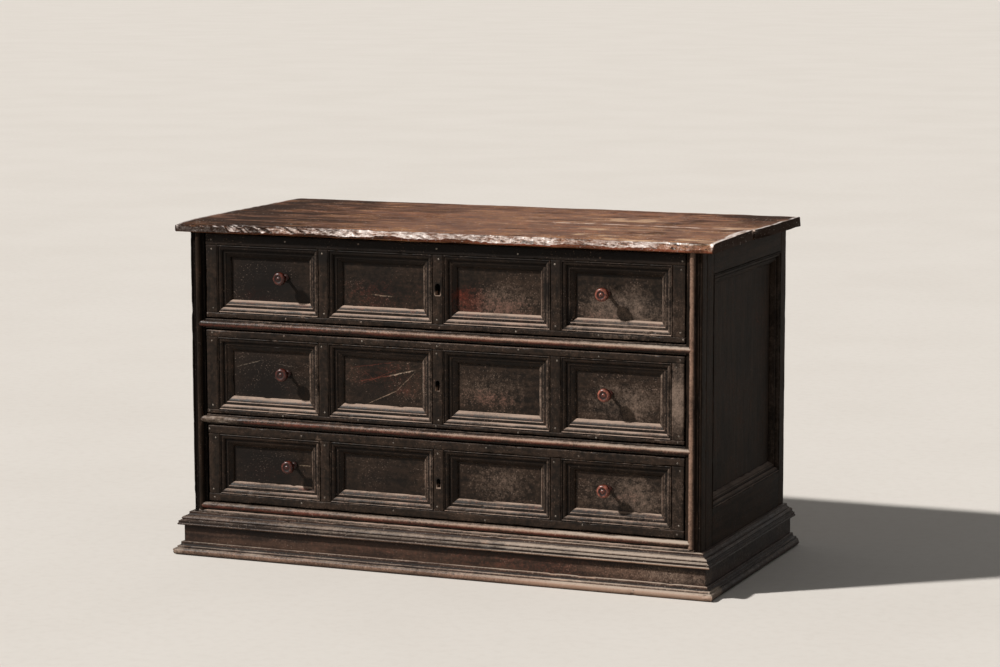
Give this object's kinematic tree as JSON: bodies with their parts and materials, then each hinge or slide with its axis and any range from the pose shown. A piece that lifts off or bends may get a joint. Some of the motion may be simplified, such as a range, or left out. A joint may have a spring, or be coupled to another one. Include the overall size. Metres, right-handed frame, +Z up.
{
  "type": "chest of drawers",
  "caption": "Low antique wooden chest of drawers with moulded panel fronts, turned knobs, a board top and a stepped moulded base; the drawers slide out and lock.",
  "frame": {"origin": "on the floor under the middle of the whole chest", "axes": "+X runs along the front to the viewer's right, +Y runs from the front to the back, +Z is up"},
  "size_m": [1.276, 0.636, 0.749],
  "materials": {
    "walnut_dark": "near-black aged wax over walnut",
    "walnut_top": "streaked warm brown, worn and dry at the edges",
    "walnut_worn": "dark brown rubbed through to reddish wood",
    "knob_wood": "turned, polished by hands",
    "poplar_inside": "unfinished old softwood",
    "old_iron": "forged and darkened"
  },
  "bodies": {
    "carcass": {"top_front_board": "walnut_top", "top_back_board": "walnut_top", "front_board_left": "walnut_dark", "front_board_right": "walnut_dark", "left_side_front_stile": "walnut_dark", "left_side_back_stile": "walnut_dark", "left_side_top_rail": "walnut_dark", "left_side_bottom_rail": "walnut_dark", "left_side_panel": "walnut_dark", "left_side_moulding": "walnut_dark", "right_side_front_stile": "walnut_dark", "right_side_back_stile": "walnut_dark", "right_side_top_rail": "walnut_dark", "right_side_bottom_rail": "walnut_dark", "right_side_panel": "walnut_dark", "right_side_moulding": "walnut_dark", "upper_rail": "poplar_inside", "rail_below_top_drawer": "walnut_dark", "rail_below_middle_drawer": "walnut_dark", "rail_below_bottom_drawer": "walnut_dark", "upright_bead_left": "walnut_worn", "upright_bead_right": "walnut_worn", "rail_beads": "walnut_worn", "top_drawer_runners": "poplar_inside", "middle_drawer_runners": "poplar_inside", "bottom_drawer_runners": "poplar_inside", "back_boards": "poplar_inside", "floor_boards": "poplar_inside", "base_boards": "walnut_worn", "base_foot_moulding": "walnut_worn", "base_cap_moulding": "walnut_dark", "base_back_rail": "poplar_inside", "corner_blocks": "poplar_inside"},
    "top_drawer": {"top_drawer_board": "walnut_dark", "top_drawer_strips": "walnut_dark", "top_drawer_mouldings": "walnut_dark", "top_drawer_sides": "poplar_inside", "top_drawer_back": "poplar_inside", "top_drawer_bottom": "poplar_inside", "top_drawer_knobs": "knob_wood", "top_drawer_lock": "old_iron"},
    "top_bolt": {"top_drawer_bolt": "old_iron"},
    "middle_drawer": {"middle_drawer_board": "walnut_dark", "middle_drawer_strips": "walnut_dark", "middle_drawer_mouldings": "walnut_dark", "middle_drawer_sides": "poplar_inside", "middle_drawer_back": "poplar_inside", "middle_drawer_bottom": "poplar_inside", "middle_drawer_knobs": "knob_wood", "middle_drawer_lock": "old_iron"},
    "middle_bolt": {"middle_drawer_bolt": "old_iron"},
    "bottom_drawer": {"bottom_drawer_board": "walnut_dark", "bottom_drawer_strips": "walnut_dark", "bottom_drawer_mouldings": "walnut_dark", "bottom_drawer_sides": "poplar_inside", "bottom_drawer_back": "poplar_inside", "bottom_drawer_bottom": "poplar_inside", "bottom_drawer_knobs": "knob_wood", "bottom_drawer_lock": "old_iron"},
    "bottom_bolt": {"bottom_drawer_bolt": "old_iron"}
  },
  "joints": [
    {"name": "top_drawer_slide", "type": "slide", "parent": "carcass", "child": "top_drawer", "axis": [0, -1, 0], "range_m": [0, 0.4]},
    {"name": "top_bolt_slide", "type": "slide", "parent": "top_drawer", "child": "top_bolt", "axis": [0, 0, 1], "range_m": [0, 0.01]},
    {"name": "middle_drawer_slide", "type": "slide", "parent": "carcass", "child": "middle_drawer", "axis": [0, -1, 0], "range_m": [0, 0.4]},
    {"name": "middle_bolt_slide", "type": "slide", "parent": "middle_drawer", "child": "middle_bolt", "axis": [0, 0, 1], "range_m": [0, 0.01]},
    {"name": "bottom_drawer_slide", "type": "slide", "parent": "carcass", "child": "bottom_drawer", "axis": [0, -1, 0], "range_m": [0, 0.4]},
    {"name": "bottom_bolt_slide", "type": "slide", "parent": "bottom_drawer", "child": "bottom_bolt", "axis": [0, 0, 1], "range_m": [0, 0.01]}
  ]
}
